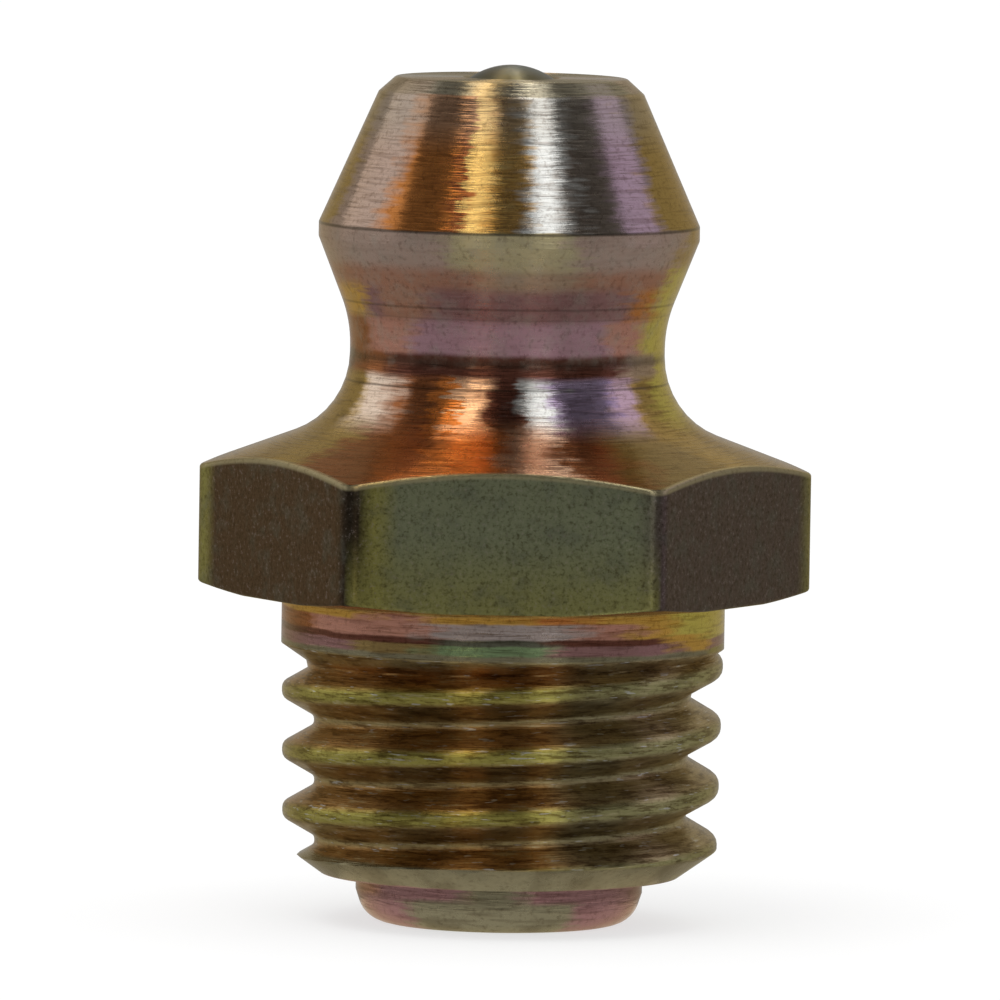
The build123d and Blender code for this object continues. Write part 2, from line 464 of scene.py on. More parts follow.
def build_thread(context, at):
    """Closed sleeve whose outside is the thread: one pitch of it, spun along its helix."""
    tip, thread, *_ = sizes(context)
    crest = thread.radius
    root = crest - at.thread_depth
    half = thread.pitch / 2
    corners = (
        (root, -half, 0),
        (root, thread.root_width / 2 - half, thread.root_rounding),
        (crest, -thread.crest_width / 2, thread.crest_rounding),
        (crest, thread.crest_width / 2, thread.crest_rounding),
        (root, half - thread.root_width / 2, thread.root_rounding),
        (root, half, 0),
    )
    bm = bmesh.new()
    draw_outline(bm, corners, arc_steps=3)
    long_edges = [edge for edge in bm.edges if edge.calc_length() > LONG_THREAD_EDGE]
    ops.subdivide_edges(bm, edges=long_edges, cuts=7)
    start = tip.length - thread.pitch * (1 + thread.start_bearing / (2 * pi))
    ops.translate(bm, verts=bm.verts, vec=(0, 0, start))
    spin(bm, 2 * pi, thread.steps, thread.pitch / thread.steps)
    repeat(bm, ceil(thread.length / thread.pitch) + 2, Matrix.Translation((0, 0, thread.pitch)))
    ops.remove_doubles(bm, verts=bm.verts, dist=THREAD_WELD)
    for vert in bm.verts:
        radius = vert.co.xy.length
        tapered = radius - (at.thread_top - vert.co.z) * tan(thread.taper_angle)
        low, high = thread_envelope(vert.co.z, context, at)
        tapered = min(max(tapered, low), high)
        vert.co.xy *= tapered / radius
    cut_level(bm, tip.length, 1)
    cut_level(bm, at.thread_top, -1)
    inner = tip.radius - SLEEVE_OVERLAP
    rims = []
    for height in (tip.length, at.thread_top):
        rim = [edge for edge in bm.edges if edge.is_boundary and abs(edge.verts[0].co.z - height) < TINY]
        out = ops.extrude_edge_only(bm, edges=rim)
        for vert in only(BMVert, out["geom"]):
            vert.co.xy = vert.co.xy.normalized() * inner
        rims += [edge for edge in only(BMEdge, out["geom"]) if edge.is_boundary]
    ops.bridge_loops(bm, edges=rims)
    ops.recalc_face_normals(bm, faces=bm.faces)
    return bm


class NIPPLE_OT_body(Operator):
    """Turn the body, press its hexagon, and put the thread round its shank"""

    bl_idname = "nipple.body"
    bl_label = "Body"

    def execute(self, context):
        at = heights(context)
        bm = turned_blank(context, at)
        press_hexagon(bm, context, at)
        sleeve = bpy.data.meshes.new("sleeve")
        thread = build_thread(context, at)
        thread.to_mesh(sleeve)
        thread.free()
        bm.from_mesh(sleeve)
        bpy.data.meshes.remove(sleeve)
        body = new_piece("plated_body", bm, BODY, plating_material(context, at))
        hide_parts("nipple_body")
        return {"FINISHED"}


class NIPPLE_OT_ball(Operator):
    """Set the check ball in its seat"""

    bl_idname = "nipple.ball"
    bl_label = "Check ball"

    def execute(self, context):
        bm = bmesh.new()
        ops.create_uvsphere(bm, u_segments=96, v_segments=48, radius=BALL_RADIUS)
        ops.translate(bm, verts=bm.verts, vec=(0, 0, (ball_low[2] + ball_high[2]) / 2))
        ball = new_piece("steel_ball", bm, BALL, ball_material(context))
        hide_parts("check_ball")
        return {"FINISHED"}


class NIPPLE_OT_spring(Operator):
    """Wind the spring between the rolled lip and the ball"""

    bl_idname = "nipple.spring"
    bl_label = "Spring"

    def execute(self, context):
        coil = context.scene.nipple_spring
        height = spring_high[2] - spring_low[2]
        pitch = height / coil.turns
        wound = height + 2 * coil.wire
        bm = bmesh.new()
        ops.create_circle(bm, cap_ends=True, radius=coil.wire / 2, segments=SPRING_SIDES)
        upright = Matrix.Rotation(pi / 2 + atan2(pitch, 2 * pi * coil.radius), 4, "X")
        place = Matrix.Translation((coil.radius, 0, spring_low[2] - coil.wire))
        ops.transform(bm, matrix=place @ upright, verts=bm.verts)
        turns = wound / pitch
        steps = round(turns * coil.steps)
        spin(bm, 2 * pi * turns, steps, wound / steps)
        for end, side in ((spring_low[2], 1), (spring_high[2], -1)):
            ops.holes_fill(bm, edges=cut_level(bm, end, side))
        ops.recalc_face_normals(bm, faces=bm.faces)
        spring = new_piece("spring_coil", bm, BODY, spring_material(context))
        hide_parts("spring")
        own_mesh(spring)
        return {"FINISHED"}


# Materials


def feed(socket, value):
    """Links a socket to another, or sets its value."""
    if isinstance(value, NodeSocket):
        socket.id_data.links.new(value, socket)
    else:
        socket.default_value = value


def add(kind, inputs, tree=None, **settings):
    """Node with its settings and inputs, in the given tree or in that of its inputs."""
    tree = tree or next(value.id_data for value in inputs.values() if isinstance(value, NodeSocket))
    node = tree.nodes.new(kind)
    for key, value in settings.items():
        setattr(node, key, value)
    for key, value in inputs.items():
        feed(node.inputs[key], value)
    return node


def calc(operation, first, second=0.0, third=0.0):
    """Result of a Math node."""
    return add("ShaderNodeMath", {0: first, 1: second, 2: third}, operation=operation).outputs[0]


times = partial(calc, "MULTIPLY")
plus = partial(calc, "ADD")
minus = partial(calc, "SUBTRACT")
divide = partial(calc, "DIVIDE")
highest = partial(calc, "MAXIMUM")


def ease(value, low, high, to_low=0.0, to_high=1.0):
    """Value eased from one range to another, and held at its ends."""
    inputs = {"Value": value, "From Min": low, "From Max": high, "To Min": to_low, "To Max": to_high}
    return add("ShaderNodeMapRange", inputs, interpolation_type="SMOOTHSTEP").outputs[0]


def band(value, low, high, soft):
    """One inside a range and nought outside it, with soft ends."""
    fall = ease(value, high - soft, high + soft, 1.0, 0.0)
    return times(ease(value, low - soft, low + soft), fall)


def noise(vector, scale, detail, roughness):
    """Noise from nought to one."""
    inputs = {"Vector": vector, "Scale": scale, "Detail": detail, "Roughness": roughness}
    return add("ShaderNodeTexNoise", inputs).outputs["Fac"]


def vector(x, y, z):
    """Vector of three values."""
    return add("ShaderNodeCombineXYZ", {"X": x, "Y": y, "Z": z}).outputs[0]


def ramp(value, stops):
    """Colour along a ramp of rising (position, colour) stops."""
    node = add("ShaderNodeValToRGB", {"Fac": value})
    elements = node.color_ramp.elements
    while len(elements) < len(stops):
        elements.new(0.5)
    for element, (position, shade) in zip(elements, stops):
        element.position = position
    for element, (position, shade) in zip(elements, stops):
        element.color = (*shade, 1.0)
    return node.outputs["Color"]


def mix(factor, first, second, blend="MIX"):
    """Mix of two colours."""
    first, second = [shade if isinstance(shade, NodeSocket) else (*shade, 1.0) for shade in (first, second)]
    inputs = {0: factor, 6: first, 7: second}
    return add("ShaderNodeMix", inputs, data_type="RGBA", blend_type=blend).outputs[2]


def stain(film, shade, value, none_at, full_at, share, blend="MIX"):
    """Film under a shade, whose share grows while the value goes from one level to another."""
    return mix(ease(value, none_at, full_at, 0.0, share), film, shade, blend)


def bump(height, distance, strength, normal=None):
    """Relief from a height, whose distance is in metres, on top of another relief."""
    inputs = {"Height": height, "Distance": distance, "Strength": strength}
    if normal:
        inputs["Normal"] = normal
    return add("ShaderNodeBump", inputs).outputs["Normal"]


def new_material(name):
    """Material with its nodes and its shader's sockets."""
    material = bpy.data.materials.new(name)
    material.use_nodes = True
    return material, material.node_tree, material.node_tree.nodes["Principled BSDF"].inputs


def metal(shader, film, roughness, normal):
    """Gives a shader a metal's colour, roughness and relief."""
    feed(shader["Base Color"], film)
    feed(shader["Roughness"], roughness)
    feed(shader["Normal"], normal)
    shader["Metallic"].default_value = 1.0


def surface(tree, node):
    """Puts a node's shader on the surface in place of the first one."""
    feed(tree.nodes["Material Output"].inputs["Surface"], node.outputs[0])


def shining(name, tint, strength):
    """Material that only shines."""
    material, tree, _ = new_material(name)
    surface(tree, add("ShaderNodeEmission", {"Color": (*tint, 1.0), "Strength": strength}, tree))
    return material


def millimetres(tree):
    """Place in millimetres, its three parts, its distance from the axis and its bearing in degrees."""
    place = add("ShaderNodeTexCoord", {}, tree).outputs["Object"]
    scaled = add("ShaderNodeMapping", {"Vector": place, "Scale": (1000, 1000, 1000)}).outputs[0]
    x, y, z = add("ShaderNodeSeparateXYZ", {"Vector": scaled}).outputs
    across = calc("SQRT", plus(calc("POWER", x, 2), calc("POWER", y, 2)))
    bearing = calc("DEGREES", calc("ARCTAN2", y, x))
    return scaled, x, y, z, across, bearing


# Bands of the turned surfaces, from the tip up: the heights in millimetres over which each comes in, its
# base colour, and its streaks of (bearing, width, colour) in degrees. The streaks are partly the film's own
# hue and partly painted reflections and highlights of the strip lights
BANDS = (
    # Tip and lead
    (-1.0, 0.0, "plum", (-93, 66, "drab"), (95, 60, "drab")),
    (0.50, 0.62, "plum", (-165, 20, "rose"), (-92, 16, "drab"), (20, 30, "pink")),
    (0.84, 0.88, "drab", (0, 30, "olive"), (150, 30, "olive")),
    # Rings of the shoulder
    (4.96, 5.02, "plum", (-120, 12, "bark"), (-92, 24, "green"), (-30, 10, "amber"), (100, 20, "green")),
    (5.15, 5.19, "coffee", (-92, 24, "smoke"), (-36, 6, "amber"), (-8, 20, "lime"), (100, 30, "smoke")),
    (5.26, 5.31, "clay", (-160, 24, "umber"), (-88, 32, "haze"), (-48, 4, "amber"), (-20, 32, "lime"),
     (100, 30, "haze")),
    (5.53, 5.58, "amber", (-118, 10, "clay"), (-74, 10, "copper"), (-22, 32, "lime"), (60, 30, "umber")),
    (5.65, 5.71, "moss", (-165, 20, "lime"), (-22, 32, "lime"), (60, 40, "olive")),
    # Flare
    (5.80, 5.90, "moss", (-123, 22, "umber"), (-99, 7, "orange"), (-83, 9, "apricot"), (-72, 4, "umber"),
     (-48, 12, "bark"), (50, 20, "copper"), (95, 20, "orange")),
    (8.62, 9.12, "moss", (-142, 8, "blush"), (-120, 8, "umber"), (-110, 4, "orange"),
     (-104, 6, "apricot"), (-90, 8, "coffee"), (-79, 7, "silver"), (-62, 14, "iris"), (-46, 5, "lilac"),
     (-10, 24, "lime"), (105, 40, "apricot")),
    # Neck and underside
    (9.64, 9.80, "coffee", (-150, 20, "umber"), (-30, 14, "sand"), (-8, 14, "lime")),
    (10.06, 10.18, "mauve", (-162, 16, "umber"), (-136, 12, "clay"), (-44, 8, "clay"), (-12, 28, "lime"),
     (125, 20, "clay")),
    (10.62, 10.80, "plum", (-160, 12, "amber"), (-128, 10, "rose"), (-38, 6, "copper"),
     (-10, 18, "lime"), (60, 20, "copper")),
    (11.15, 11.40, "rose", (-82, 24, "sand"), (-10, 20, "lime"), (130, 20, "pink")),
    (11.48, 11.76, "pink", (-89, 30, "khaki"), (-8, 20, "moss"), (70, 30, "khaki")),
    # Nose and face
    (12.28, 12.31, "moss", (-146, 16, "pink"), (-120, 14, "copper"), (-108, 2, "umber"),
     (-101, 6, "straw"), (-90, 2, "brass"), (-78, 8, "silver"), (-62, 8, "slate"), (-46, 10, "violet"),
     (70, 20, "copper"), (95, 20, "straw"), (135, 30, "violet")),
    (14.60, 14.63, "drab", (-155, 40, "sand"), (-101, 6, "straw"), (0, 40, "pink"), (90, 40, "sand")),
)
# Streaks of the hexagon's walls: the thin yellow ones at the corners are painted highlights, and the dark
# one at -119 degrees is a painted dark reflection beside a corner
WALLS = (
    (-178, 3, "wall_edge"), (-119, 3, "dark"), (-115.5, 1.5, "wall_edge"), (-87.5, 47, "wall_olive"),
    (-32.5, 55, "wall_grey"), (0, 1, "wall_edge"), (31, 52, "wall_grey"), (62, 1, "wall_edge"),
    (90.5, 47, "wall_olive"), (176, 3, "wall_edge"),
)


def film_round(look, bearing, soft, base, streaks):
    """Film round the piece: a base colour, and streaks of (bearing, width, colour) with soft edges, which
    also carry painted reflections and highlights.
    """
    stops = [(-180, base)]
    for middle, width, shade in streaks:
        start = middle - width / 2
        if start - stops[-1][0] > 2 * soft:
            stops += [(stops[-1][0] + soft, base), (start - soft, base)]
        stops += [(start, shade), (middle + width / 2, shade)]
    stops += [(min(180, stops[-1][0] + soft), base)]
    share = divide(plus(bearing, 180.0), 360.0)
    return ramp(share, [((place + 180) / 360, getattr(look, shade)) for place, shade in stops])


def film_on_thread(context, x, y, z, bearing):
    """Film that follows the thread: olive on the crests, and browner on the flanks, with a painted sheen on
    one side and painted glints.
    """
    look = context.scene.nipple_plating
    tip, thread, *_ = sizes(context)
    rise = divide(minus(z, tip.length / MM), thread.pitch / MM)
    swept = minus(bearing, degrees(thread.start_bearing))
    phase = calc("FRACT", minus(rise, divide(swept, 360.0)))
    spans = (
        (0.00, 0.07, look.crest),
        (0.18, 0.44, look.russet),
        (0.52, 0.58, look.root),
        (0.66, 0.84, look.bark),
        (0.93, 1.00, look.crest),
    )
    film = ramp(phase, [(end, shade) for low, high, shade in spans for end in (low, high)])
    # Painted sheen: the side of the thread between bearings of about -72 and 40 degrees is painted greyer
    # and lighter
    sheen_side = times(ease(bearing, -80.0, -64.0), ease(bearing, 20.0, 60.0, 1.0, 0.0))
    film = mix(times(sheen_side, 0.55), film, look.thread_sheen)
    stretched = vector(x, y, times(z, 8.0))
    streaks = noise(stretched, 1.3, 5.0, 0.75)
    film = stain(film, look.ring_shade, streaks, 0.49, 0.60, 0.85, "MULTIPLY")
    film = stain(film, look.khaki, streaks, 0.44, 0.36, 0.5)
    # Painted glints: short silver dashes along the thread
    painted_glints = noise(stretched, 3.0, 2.0, 0.5)
    return stain(film, look.silver, painted_glints, 0.64, 0.70, 0.6)


def film_on_turned(look, place, x, y, z, bearing):
    """Film of the turned surfaces: bands whose streaks waver and partly paint reflections of the strip
    lights, a mottled neck and a paler nose.
    """
    waver = noise(vector(x, y, times(z, 0.25)), 1.3, 3.0, 0.55)
    tears = noise(vector(x, y, times(z, 9.0)), 1.2, 2.0, 0.6)
    drift = plus(ease(waver, 0.3, 0.7, -3.5, 3.5), ease(tears, 0.25, 0.75, -4.0, 4.0))
    streaked = plus(bearing, drift)
    cloud = noise(place, 0.9, 3.0, 0.55)
    lifted = plus(z, ease(cloud, 0.3, 0.7, -0.02, 0.02))
    film = None
    for low, high, base, *streaks in BANDS:
        ring = film_round(look, streaked, 9.0, base, streaks)
        film = mix(ease(lifted, low, high), film, ring) if film else ring
    mottle = ease(noise(place, 3.2, 4.0, 0.65), 0.40, 0.75, 0.0, 0.35)
    film = mix(times(mottle, band(z, 9.9, 12.25, 0.1)), film, look.steel)
    return stain(film, look.steel, z, 13.5, 14.3, 0.45)


def film_on_walls(look, place, y, z, bearing, seat, apothem, blotch):
    """Skin of the walls: yellow feet on the flats along Y, painted highlights and a painted dark reflection
    at the corners, grey clouds and specks.
    """
    film = film_round(look, bearing, 3.0, "wall_brown", WALLS)
    along_y = ease(calc("ABSOLUTE", y), apothem - 0.10, apothem - 0.03)
    foot = times(ease(z, seat, seat + 1.5, 0.75, 0.0), along_y)
    film = mix(foot, film, look.wall_edge)
    film = stain(film, look.wall_slate, blotch, 0.45, 0.7, 0.35)
    specks = noise(place, 13.0, 3.0, 0.75)
    film = stain(film, look.speckle, specks, 0.50, 0.66, 0.7, "MULTIPLY")
    return stain(film, look.haze, specks, 0.44, 0.32, 0.25)


def plating_material(context, at):
    """Turned steel under an iridescent yellow zinc plating."""
    look = context.scene.nipple_plating
    tip, _, hexagon, head = sizes(context)
    material, tree, shader = new_material("iridescent_plating")
    place, x, y, z, across, bearing = millimetres(tree)
    apothem = hexagon.apothem / MM
    reach = at.reach / MM
    flare_foot = at.flare_foot / MM

    # Which part of the body a point is on
    fold = calc("WRAP", minus(bearing, 90.0), 30.0, -30.0)
    flat_reach = times(across, calc("COSINE", calc("RADIANS", fold)))
    on_flat = ease(flat_reach, apothem - 0.05, apothem - 0.02)
    on_corner = ease(across, reach - 0.08, reach - 0.05)
    on_wall = highest(on_flat, on_corner)
    on_thread = band(z, tip.length / MM + 0.42, at.thread_top / MM + 0.02, 0.03)
    on_neck = band(z, 9.95, 12.30, 0.05)

    # Films
    blotch = noise(place, 2.4, 4.0, 0.6)
    film = film_on_turned(look, place, x, y, z, bearing)
    film = mix(on_thread, film, film_on_thread(context, x, y, z, bearing))
    walls = film_on_walls(look, place, y, z, bearing, at.seat / MM, apothem, blotch)
    film = mix(on_wall, film, walls)

    # Turning rings, which come and go round the piece and are fainter on the neck
    ring_height = times(minus(z, times(across, 0.7)), look.ring_density)
    ring_place = vector(times(x, 1.1), times(y, 1.1), ring_height)
    rings = noise(ring_place, 1.0, 2.0, 0.6)
    strong = times(ease(on_neck, 0.0, 1.0, 1.0, 0.3), minus(1.0, on_wall))
    dull = times(ease(rings, 0.48, 0.66), strong)
    film = mix(times(dull, 0.45), film, look.ring_shade, "MULTIPLY")

    # Painted shade of grooves: dark rings at the head's widest ring and on the neck, which the mesh doesn't
    # cut:
    # from, to, softness and share
    groove_shades = (
        (12.25, 12.30, 0.02, 0.7),
        (10.92, 10.96, 0.02, 0.4),
        (10.74, 10.76, 0.02, 0.3),
        (9.93, 10.03, 0.10, 0.7),
        (9.52, 9.55, 0.02, 0.6),
    )
    for low, high, soft, share in groove_shades:
        film = mix(times(band(z, low, high, soft), share), film, look.dark)

    # Thin film on the hexagon's upper edges, whose pale khaki also paints the highlight of the rounded
    # edges:
    # partly a painted highlight
    cone = times(minus(across, head.neck_radius / MM), tan(head.flare_angle))
    edge = band(plus(z, cone), flare_foot - 0.07, flare_foot + 0.05, 0.03)
    edge = times(edge, ease(flat_reach, 4.60, 4.64))
    film = mix(times(edge, 0.6), film, look.khaki)
    grain = noise(place, 11.0, 3.0, 0.6)
    film = stain(film, look.ring_shade, grain, 0.50, 0.72, 0.45, "MULTIPLY")

    # Roughness and relief
    rough = ease(blotch, 0.3, 0.7, look.roughness - 0.02, look.roughness + 0.03)
    rough = plus(rough, times(on_wall, 0.14))
    rough = plus(rough, times(on_thread, 0.05))
    normal = bump(times(rings, strong), look.ring_depth, 1.0)
    skin = noise(place, 7.0, 4.0, 0.6)
    normal = bump(times(skin, on_wall), look.skin_depth, 0.8, normal)
    shader["Anisotropic"].default_value = look.brushing
    shader["Anisotropic Rotation"].default_value = 0.25
    shader["Specular Tint"].default_value = (*look.rim_tint, 1)
    feed(shader["Tangent"], add("ShaderNodeTangent", {}, tree, direction_type="RADIAL", axis="Z").outputs[0])
    metal(shader, film, rough, normal)
    return material


def ball_material(context):
    """Polished steel under a thin dark film, with fine scratches."""
    look = context.scene.nipple_plating
    material, tree, shader = new_material("ball_steel")
    place, x, y, z, *_ = millimetres(tree)
    cloud = noise(place, 1.6, 3.0, 0.6)
    film = mix(ease(cloud, 0.35, 0.65), look.ball, look.smoke)
    film = stain(film, look.dark, noise(place, 9.0, 3.0, 0.7), 0.55, 0.8, 0.6)
    scratch = noise(vector(x, times(y, 0.1), z), 18.0, 2.0, 0.6)
    metal(shader, film, ease(cloud, 0.3, 0.7, 0.30, 0.42), bump(scratch, 0.002 * MM, 0.6))
    return material


def spring_material(context):
    """Drawn spring wire, with faint streaks and a little grease."""
    look = context.scene.nipple_plating
    material, tree, shader = new_material("spring_wire")
    *_, z, across, bearing = millimetres(tree)
    streak = noise(vector(across, bearing, z), 3.0, 3.0, 0.6)
    film = mix(ease(streak, 0.35, 0.65), look.wire, look.dark)
    metal(shader, film, ease(streak, 0.3, 0.7, 0.22, 0.40), bump(streak, 0.003 * MM, 0.6))
    return material


# Studio


def stage_piece(name, bm, material, reflections_only=True):
    """Piece of the studio, which only reflections see unless it is the floor."""
    piece = new_object(name, bm, material)
    if reflections_only:
        piece.visible_camera = False
        piece.visible_diffuse = False
        piece.visible_shadow = False


def facing(bearing, elevation, distance, target):
    """Matrix that puts a thing in a direction from the target, turned to face it."""
    away = Vector((cos(bearing), sin(bearing), 0)) * cos(elevation)
    away.z = sin(elevation)
    return Matrix.Translation(target + away * distance) @ away.to_track_quat("Z", "Y").to_matrix().to_4x4()


def mirrored_card(name, first, last, low, high, view_way, target, material):
    """Strip where the camera sees it mirrored by faces between two bearings and two upward tilts."""
    bm = bmesh.new()
    ops.create_grid(bm, x_segments=6, y_segments=24, size=0.5)
    for vert in bm.verts:
        bearing = radians(first + (vert.co.x + 0.5) * (last - first))
        tilt = radians(low + (vert.co.y + 0.5) * (high - low))
        normal = Vector((cos(bearing) * cos(tilt), sin(bearing) * cos(tilt), sin(tilt)))
        vert.co = target - view_way.reflect(normal) * CARD_DISTANCE
    stage_piece(name, bm, material)


def mat_card(name, bearing, width, inner, outer, material):
    """Patch just above the mat, between two distances from the axis in millimetres."""
    bm = bmesh.new()
    ops.create_grid(bm, x_segments=6, y_segments=2, size=0.5)
    for vert in bm.verts:
        turn = radians(bearing + vert.co.x * width)
        reach = (inner + (vert.co.y + 0.5) * (outer - inner)) * MM
        vert.co = Vector((reach * cos(turn), reach * sin(turn), GLOW_HEIGHT))
    stage_piece(name, bm, material)


def tent_material(studio):
    """Wall of the tent: even round the horizon, dim above the front and less dim above the back."""
    material, tree, _ = new_material("tent_cloth")
    place = add("ShaderNodeTexCoord", {}, tree).outputs["Object"]
    way = add("ShaderNodeVectorMath", {0: place}, operation="NORMALIZE").outputs[0]
    _, y, z = add("ShaderNodeSeparateXYZ", {"Vector": way}).outputs
    rise = calc("DEGREES", calc("ARCSINE", z))
    upper = ease(y, -0.3, 0.5, studio.tent_front, studio.tent_back)
    near_horizon = ease(rise, 6.0, 24.0, 1.0, 0.0)
    gap = minus(studio.horizon_level, upper)
    total = plus(upper, times(gap, near_horizon))
    surface(tree, add("ShaderNodeEmission", {"Color": (1, 1, 1, 1), "Strength": total}))
    return material


def floor_material(studio):
    """Pale floor that keeps a soft shadow, and looks white in the open."""
    material, tree, _ = new_material("pale_floor")
    rays = add("ShaderNodeLightPath", {}, tree).outputs
    seen = highest(rays["Is Camera Ray"], rays["Is Glossy Ray"])
    seen = highest(seen, rays["Is Transmission Ray"])
    grain = noise(add("ShaderNodeTexCoord", {}, tree).outputs["Object"], 60.0, 3.0, 0.6)
    tone = mix(grain, studio.floor, tuple(min(1, part * 1.01) for part in studio.floor))
    matt = add("ShaderNodeBsdfDiffuse", {"Color": tone})
    glow = add("ShaderNodeEmission", {"Strength": times(seen, studio.floor_glow)})
    surface(tree, add("ShaderNodeAddShader", {0: matt.outputs[0], 1: glow.outputs[0]}))
    return material


class NIPPLE_OT_stage(Operator):
    """Set up the floor, the tent and its strip lights, and the camera"""

    bl_idname = "nipple.stage"
    bl_label = "Studio"

    def execute(self, context):
        scene = context.scene
        studio = scene.nipple_studio
        middle = Vector((0, 0, (cad_low[2] + cad_high[2]) / 2))

        bm = bmesh.new()
        ops.create_circle(bm, cap_ends=True, segments=96, radius=FLOOR_RADIUS)
        stage_piece("floor", bm, floor_material(studio), reflections_only=False)
        bm = bmesh.new()
        ops.create_uvsphere(bm, u_segments=64, v_segments=32, radius=TENT_RADIUS)
        stage_piece("tent", bm, tent_material(studio))
        bm = bmesh.new()
        ops.create_circle(bm, cap_ends=False, segments=96, radius=studio.mat_inner)
        out = ops.extrude_edge_only(bm, edges=bm.edges[:])
        widening = (MAT_RADIUS / studio.mat_inner,) * 2 + (1,)
        ops.scale(bm, vec=widening, verts=only(BMVert, out["geom"]))
        ops.translate(bm, verts=bm.verts, vec=(0, 0, MAT_HEIGHT))
        stage_piece("dark_mat", bm, shining("dark_mat", (1, 1, 1), studio.mat_level))

        glows = (
            ("glow_white", -68, 10, 5.0, 10.0, 1.2, studio.white),
            ("glow_gold", -108, 8, 5.0, 10.0, 0.6, studio.warm),
        )
        for name, *span, strength, tint in glows:
            mat_card(name, *span, shining(name, tint, strength))

        view_way = facing(studio.bearing - pi / 2, studio.elevation, 1.0, Vector()).to_translation()
        strips = (
            ("strip_gold", -103.5, -95.5, 14, 31, 0.62, studio.warm),
            ("strip_gold_over", -110, -100, 32, 76, 0.85, studio.warm),
            ("strip_white", -82.5, -73.5, 12, 31, 0.52, studio.white),
            ("strip_white_mid", -81.0, -72.5, 31, 56, 0.6, studio.white),
            ("strip_white_over", -85, -78.5, 54, 76, 2.2, studio.white),
            ("strip_violet", -52, -38, 12, 48, 0.28, studio.cool),
            ("strip_left", -151, -126, 11, 46, 0.3, studio.white),
            ("strip_right", -58, -20, 46, 76, 0.18, studio.white),
        )
        for name, *span, share, tint in strips:
            material = shining(name, tint, studio.strip_level * share)
            mirrored_card(name, *span, view_way, middle, material)

        lamp = bpy.data.lights.new("soft_box", "AREA")
        lamp.shape = "DISK"
        lamp.size = LAMP_SIZE
        lamp.energy = studio.lamp_energy
        box = bpy.data.objects.new("soft_box", lamp)
        box.matrix_world = facing(LAMP_BEARING, LAMP_ELEVATION, LAMP_DISTANCE, middle)
        box.visible_glossy = False
        scene.collection.objects.link(box)

        world = bpy.data.worlds.new("studio")
        world.use_nodes = True
        background = world.node_tree.nodes["Background"]
        background.inputs["Color"].default_value = (1, 1, 1, 1)
        background.inputs["Strength"].default_value = studio.world_level
        scene.world = world
        scene.view_settings.view_transform = "Standard"

        camera = bpy.data.cameras.new("camera")
        camera.sensor_fit = "HORIZONTAL"
        camera.sensor_width = SENSOR_WIDTH
        camera.lens = studio.pixels_per_mm * studio.distance / MM / PICTURE_PIXELS * SENSOR_WIDTH
        camera.clip_start = 0.01
        camera.clip_end = 10.0
        view = bpy.data.objects.new("camera", camera)
        target = Vector((0, 0, AIM_HEIGHT))
        pose = facing(studio.bearing - pi / 2, studio.elevation, studio.distance, target)
        pose = pose @ Matrix.Rotation(studio.roll, 4, "Z")
        slide = Vector((-studio.right_pixels, -studio.up_pixels, 0)) / studio.pixels_per_mm * MM
        view.matrix_world = pose @ Matrix.Translation(slide)
        scene.collection.objects.link(view)
        scene.camera = view
        return {"FINISHED"}


